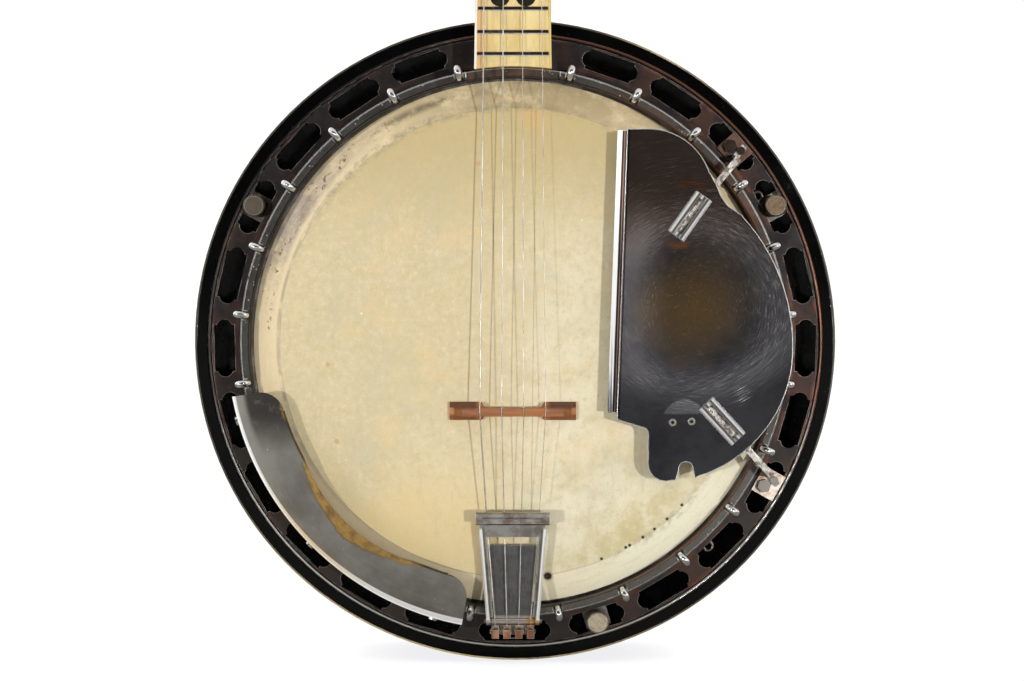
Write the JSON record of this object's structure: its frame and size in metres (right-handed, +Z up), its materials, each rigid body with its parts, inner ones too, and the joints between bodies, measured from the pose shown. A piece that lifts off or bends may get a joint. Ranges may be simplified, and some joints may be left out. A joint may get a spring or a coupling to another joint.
{
  "type": "banjo",
  "caption": "Four-string resonator banjo: skin head on a flanged round pot, fretted neck, geared pegs, clamp-on armrest and finger rest.",
  "frame": {"origin": "centre of the head's playing surface, on the pot axis", "axes": "+Z up the neck towards the peghead, -Y out of the playing face, +X to the treble side as seen by somebody looking at the face"},
  "size_m": [0.3492, 0.1098, 0.859],
  "materials": {
    "rim_maple": "varnished laminated maple",
    "bronze": "cast bronze, dull",
    "skin": "aged calfskin, matt with grime at the rim",
    "worn_nickel": "tarnished nickel plate with pitting",
    "bright_nickel": "polished nickel",
    "satin_nickel": "satin nickel with brass showing at the edge",
    "dark_nickel": "polished nickel, scratched, with a worn brown patch",
    "worn_flange": "tarnished plate, copper showing on the edges",
    "neck_maple": "varnished maple",
    "board_maple": "varnished pale maple",
    "binding": "aged cream plastic",
    "fret_wire": "worn nickel silver",
    "black_inlay": "polished",
    "bone": "polished bone",
    "black_veneer": "black lacquer",
    "black_plastic": "polished",
    "steel": "plain steel",
    "string_steel": "plain and wound steel wire",
    "bridge_wood": "oiled maple stained red brown",
    "brass": "worn brass",
    "thumb_brass": "worn plate over brass",
    "black_lacquer": "black lacquer, worn at the edge",
    "button_plastic": "aged ivory-coloured plastic"
  },
  "bodies": {
    "root": {"rim": "rim_maple", "tone_ring": "bronze", "head": "skin", "flesh_hoop": "worn_nickel", "tension_hoop": "worn_nickel", "flange": "worn_flange", "bracket_hooks": "bright_nickel", "bracket_nuts": "worn_nickel", "coordinator_rods": "worn_nickel", "rod_bolts": "worn_nickel", "neck": "neck_maple", "fingerboard": "board_maple", "fingerboard_binding": "binding", "frets": "fret_wire", "fret_markers": "black_inlay", "nut": "bone", "peghead_overlay": "black_veneer", "truss_rod": "steel", "truss_rod_cover": "black_plastic", "truss_cover_screws": "bright_nickel", "heel_cap": "binding", "neck_lag_bolts": "steel", "peg_housings": "worn_nickel", "peg_bushings": "bright_nickel", "strings": "string_steel", "bridge": "bridge_wood", "tailpiece_plate": "worn_nickel", "tailpiece_pin": "steel", "tailpiece_hanger": "steel", "armrest_plate": "satin_nickel", "armrest_clamps": "bright_nickel", "finger_rest_plate": "dark_nickel", "finger_rest_arms": "bright_nickel", "finger_rest_brackets": "brass", "finger_rest_fasteners": "bright_nickel"},
    "tuner_button_1": {"tuner_button_1": "button_plastic"},
    "tuner_post_1": {"tuner_post_1": "bright_nickel"},
    "planet_gear_1a": {"planet_gear_1a": "brass"},
    "planet_gear_1b": {"planet_gear_1b": "brass"},
    "tuner_button_2": {"tuner_button_2": "button_plastic"},
    "tuner_post_2": {"tuner_post_2": "bright_nickel"},
    "planet_gear_2a": {"planet_gear_2a": "brass"},
    "planet_gear_2b": {"planet_gear_2b": "brass"},
    "tuner_button_3": {"tuner_button_3": "button_plastic"},
    "tuner_post_3": {"tuner_post_3": "bright_nickel"},
    "planet_gear_3a": {"planet_gear_3a": "brass"},
    "planet_gear_3b": {"planet_gear_3b": "brass"},
    "tuner_button_4": {"tuner_button_4": "button_plastic"},
    "tuner_post_4": {"tuner_post_4": "bright_nickel"},
    "planet_gear_4a": {"planet_gear_4a": "brass"},
    "planet_gear_4b": {"planet_gear_4b": "brass"},
    "thumbscrew_1": {"thumbscrew_1": "thumb_brass"},
    "thumbscrew_2": {"thumbscrew_2": "thumb_brass"},
    "thumbscrew_3": {"thumbscrew_3": "thumb_brass"},
    "tailpiece_lid": {"tailpiece_lid": "bright_nickel"},
    "resonator": {"resonator_wall": "black_lacquer", "resonator_back": "black_lacquer", "resonator_binding": "binding", "resonator_lugs": "worn_nickel", "resonator_lug_screws": "brass"}
  },
  "joints": [
    {"name": "tuner_button_1_turn", "type": "hinge", "parent": "root", "child": "tuner_button_1", "pos_m": [-0.0178, 0.02973, 0.59581], "axis": [0, -0.9681, 0.2504], "continuous": true},
    {"name": "tuner_post_1_turn", "type": "hinge", "parent": "root", "child": "tuner_post_1", "pos_m": [-0.0178, 0.02973, 0.59581], "axis": [0, -0.9681, 0.2504], "continuous": true},
    {"name": "planet_gear_1a_turn", "type": "hinge", "parent": "tuner_post_1", "child": "planet_gear_1a", "pos_m": [-0.013, 0.02973, 0.59581], "axis": [0, -0.9681, 0.2504], "continuous": true},
    {"name": "planet_gear_1b_turn", "type": "hinge", "parent": "tuner_post_1", "child": "planet_gear_1b", "pos_m": [-0.0226, 0.02973, 0.59581], "axis": [0, -0.9681, 0.2504], "continuous": true},
    {"name": "tuner_button_2_turn", "type": "hinge", "parent": "root", "child": "tuner_button_2", "pos_m": [0.0162, 0.02973, 0.59581], "axis": [0, -0.9681, 0.2504], "continuous": true},
    {"name": "tuner_post_2_turn", "type": "hinge", "parent": "root", "child": "tuner_post_2", "pos_m": [0.0162, 0.02973, 0.59581], "axis": [0, -0.9681, 0.2504], "continuous": true},
    {"name": "planet_gear_2a_turn", "type": "hinge", "parent": "tuner_post_2", "child": "planet_gear_2a", "pos_m": [0.021, 0.02973, 0.59581], "axis": [0, -0.9681, 0.2504], "continuous": true},
    {"name": "planet_gear_2b_turn", "type": "hinge", "parent": "tuner_post_2", "child": "planet_gear_2b", "pos_m": [0.0114, 0.02973, 0.59581], "axis": [0, -0.9681, 0.2504], "continuous": true},
    {"name": "tuner_button_3_turn", "type": "hinge", "parent": "root", "child": "tuner_button_3", "pos_m": [-0.0198, 0.0415, 0.64131], "axis": [0, -0.9681, 0.2504], "continuous": true},
    {"name": "tuner_post_3_turn", "type": "hinge", "parent": "root", "child": "tuner_post_3", "pos_m": [-0.0198, 0.0415, 0.64131], "axis": [0, -0.9681, 0.2504], "continuous": true},
    {"name": "planet_gear_3a_turn", "type": "hinge", "parent": "tuner_post_3", "child": "planet_gear_3a", "pos_m": [-0.015, 0.0415, 0.64131], "axis": [0, -0.9681, 0.2504], "continuous": true},
    {"name": "planet_gear_3b_turn", "type": "hinge", "parent": "tuner_post_3", "child": "planet_gear_3b", "pos_m": [-0.0246, 0.0415, 0.64131], "axis": [0, -0.9681, 0.2504], "continuous": true},
    {"name": "tuner_button_4_turn", "type": "hinge", "parent": "root", "child": "tuner_button_4", "pos_m": [0.0182, 0.0415, 0.64131], "axis": [0, -0.9681, 0.2504], "continuous": true},
    {"name": "tuner_post_4_turn", "type": "hinge", "parent": "root", "child": "tuner_post_4", "pos_m": [0.0182, 0.0415, 0.64131], "axis": [0, -0.9681, 0.2504], "continuous": true},
    {"name": "planet_gear_4a_turn", "type": "hinge", "parent": "tuner_post_4", "child": "planet_gear_4a", "pos_m": [0.023, 0.0415, 0.64131], "axis": [0, -0.9681, 0.2504], "continuous": true},
    {"name": "planet_gear_4b_turn", "type": "hinge", "parent": "tuner_post_4", "child": "planet_gear_4b", "pos_m": [0.0134, 0.0415, 0.64131], "axis": [0, -0.9681, 0.2504], "continuous": true},
    {"name": "thumbscrew_1_turn", "type": "hinge", "parent": "root", "child": "thumbscrew_1", "pos_m": [0.14087, 0.026, 0.07373], "axis": [0, -1, 0], "continuous": true},
    {"name": "thumbscrew_2_turn", "type": "hinge", "parent": "root", "child": "thumbscrew_2", "pos_m": [-0.14087, 0.026, 0.07373], "axis": [0, -1, 0], "continuous": true},
    {"name": "thumbscrew_3_turn", "type": "hinge", "parent": "root", "child": "thumbscrew_3", "pos_m": [0.04509, 0.026, -0.15247], "axis": [0, -1, 0], "continuous": true},
    {"name": "tailpiece_lid_swing", "type": "hinge", "parent": "root", "child": "tailpiece_lid", "pos_m": [-0.0008, -0.0066, -0.1473], "axis": [1, 0, 0], "range_deg": [0, 60]},
    {"name": "resonator_lift_off", "type": "slide", "parent": "root", "child": "resonator", "axis": [0, 1, 0], "range_m": [0, 0.1]}
  ],
  "couplings": [
    {"joint": "tuner_post_1_turn", "follows": "tuner_button_1_turn", "ratio": 0.25},
    {"joint": "planet_gear_1a_turn", "follows": "tuner_button_1_turn", "ratio": -0.75},
    {"joint": "planet_gear_1b_turn", "follows": "tuner_button_1_turn", "ratio": -0.75},
    {"joint": "tuner_post_2_turn", "follows": "tuner_button_2_turn", "ratio": 0.25},
    {"joint": "planet_gear_2a_turn", "follows": "tuner_button_2_turn", "ratio": -0.75},
    {"joint": "planet_gear_2b_turn", "follows": "tuner_button_2_turn", "ratio": -0.75},
    {"joint": "tuner_post_3_turn", "follows": "tuner_button_3_turn", "ratio": 0.25},
    {"joint": "planet_gear_3a_turn", "follows": "tuner_button_3_turn", "ratio": -0.75},
    {"joint": "planet_gear_3b_turn", "follows": "tuner_button_3_turn", "ratio": -0.75},
    {"joint": "tuner_post_4_turn", "follows": "tuner_button_4_turn", "ratio": 0.25},
    {"joint": "planet_gear_4a_turn", "follows": "tuner_button_4_turn", "ratio": -0.75},
    {"joint": "planet_gear_4b_turn", "follows": "tuner_button_4_turn", "ratio": -0.75}
  ]
}
